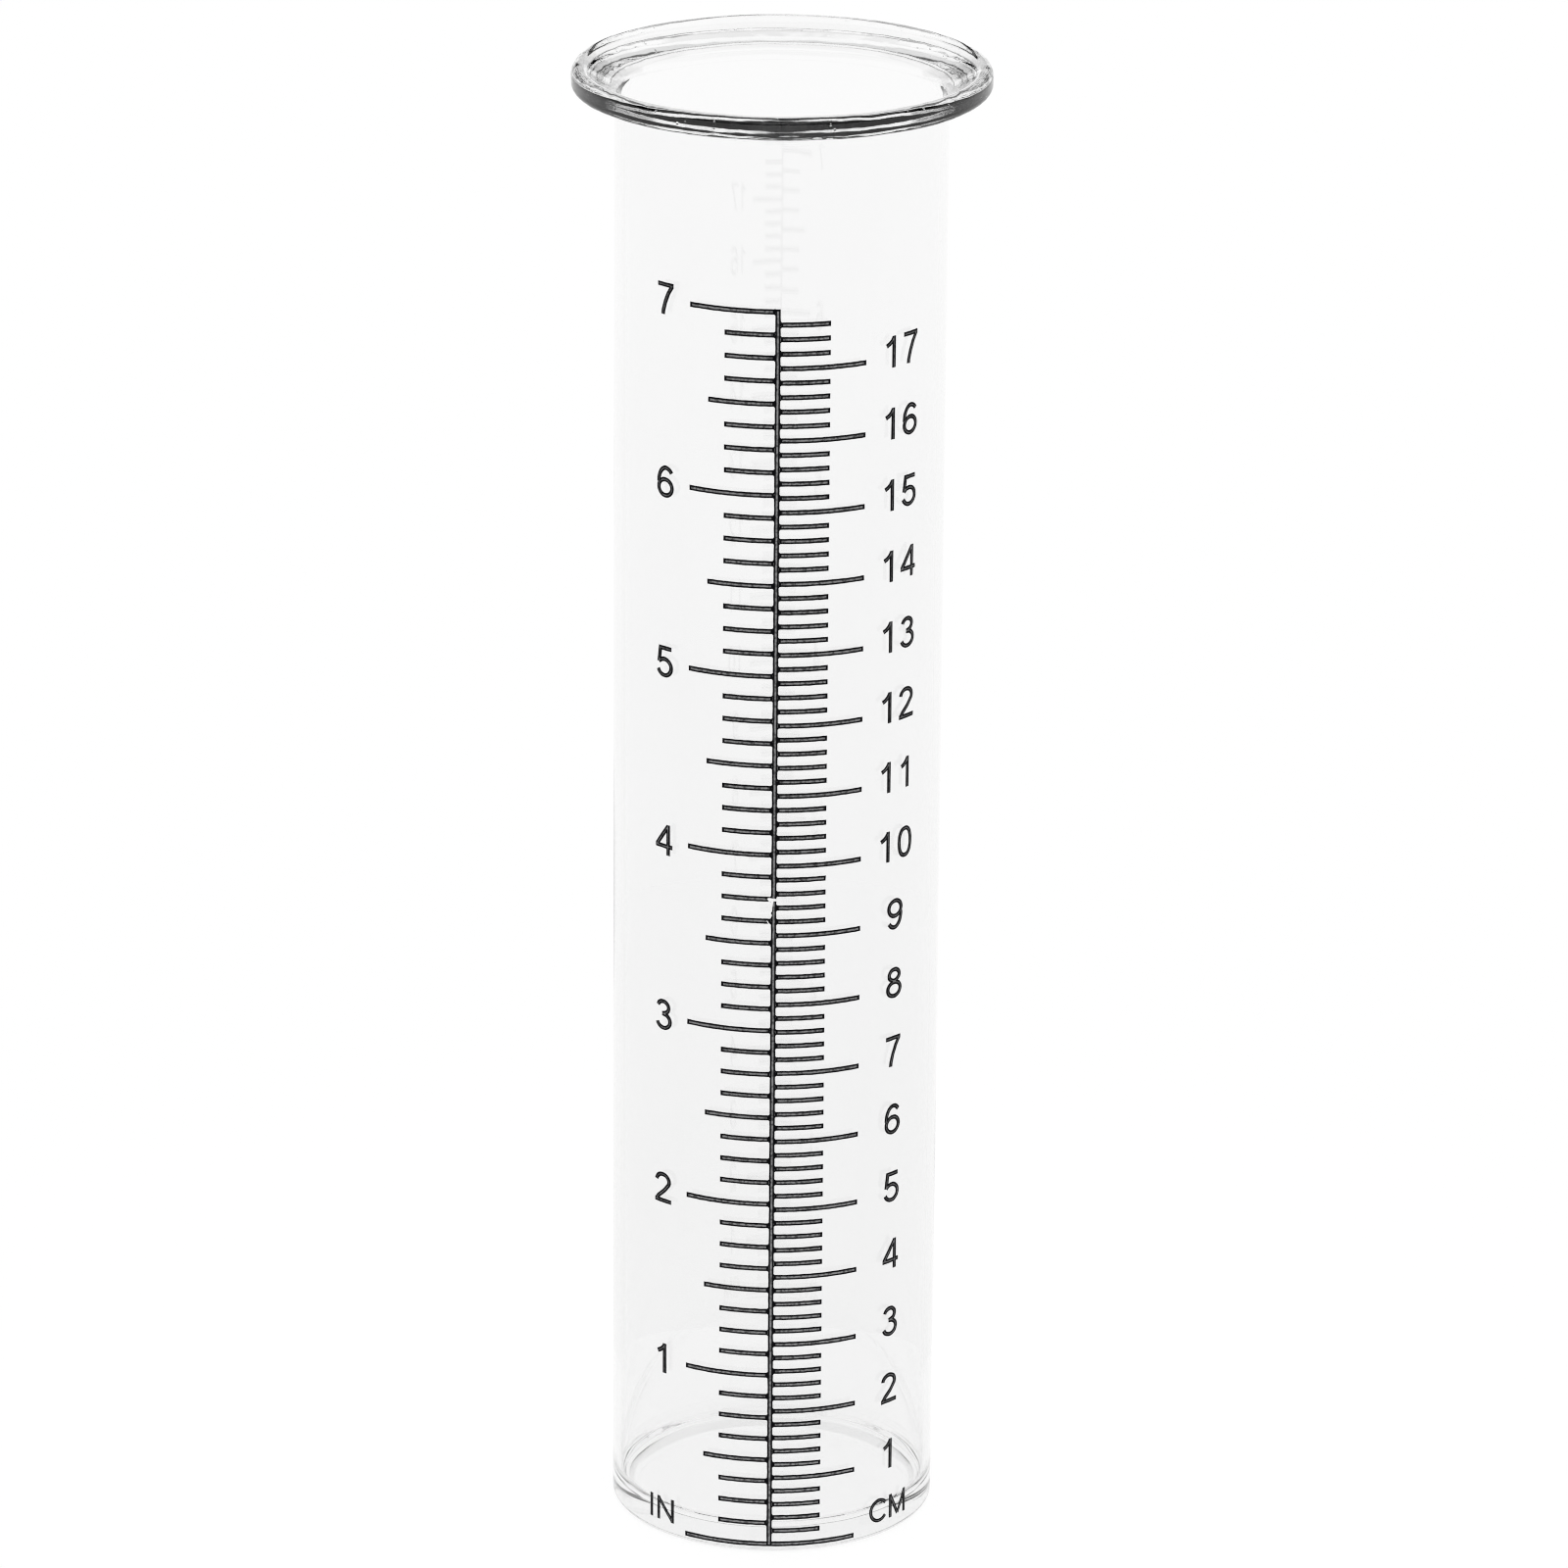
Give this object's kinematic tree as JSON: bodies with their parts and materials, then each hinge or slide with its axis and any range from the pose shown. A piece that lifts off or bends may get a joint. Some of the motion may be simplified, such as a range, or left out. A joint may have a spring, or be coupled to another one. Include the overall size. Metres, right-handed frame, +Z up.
{
  "type": "rain gauge tube",
  "caption": "Clear glass measuring tube with a flat closed bottom, a thick flanged rim with a funnel mouth and a black printed scale in inches and centimetres, for reading rainfall.",
  "frame": {"origin": "centre of the foot, on the plane the tube stands on", "axes": "+Z up along the tube to the mouth; the scale faces -Y, with inches towards -X and centimetres towards +X"},
  "size_m": [0.0564, 0.0564, 0.207],
  "materials": {
    "glass": "clear, drawn and flame worked, smooth",
    "enamel": "black screen-printed enamel fired onto the glass, satin"
  },
  "bodies": {
    "root": {"glass_tube": "glass", "scale_spine": "enamel", "zero_line": "enamel", "inch_lines": "enamel", "half_inch_lines": "enamel", "eighth_inch_lines": "enamel", "centimetre_lines": "enamel", "two_millimetre_lines": "enamel", "inch_numerals": "enamel", "centimetre_numerals": "enamel", "inch_unit_letters": "enamel", "centimetre_unit_letters": "enamel"}
  },
  "joints": []
}
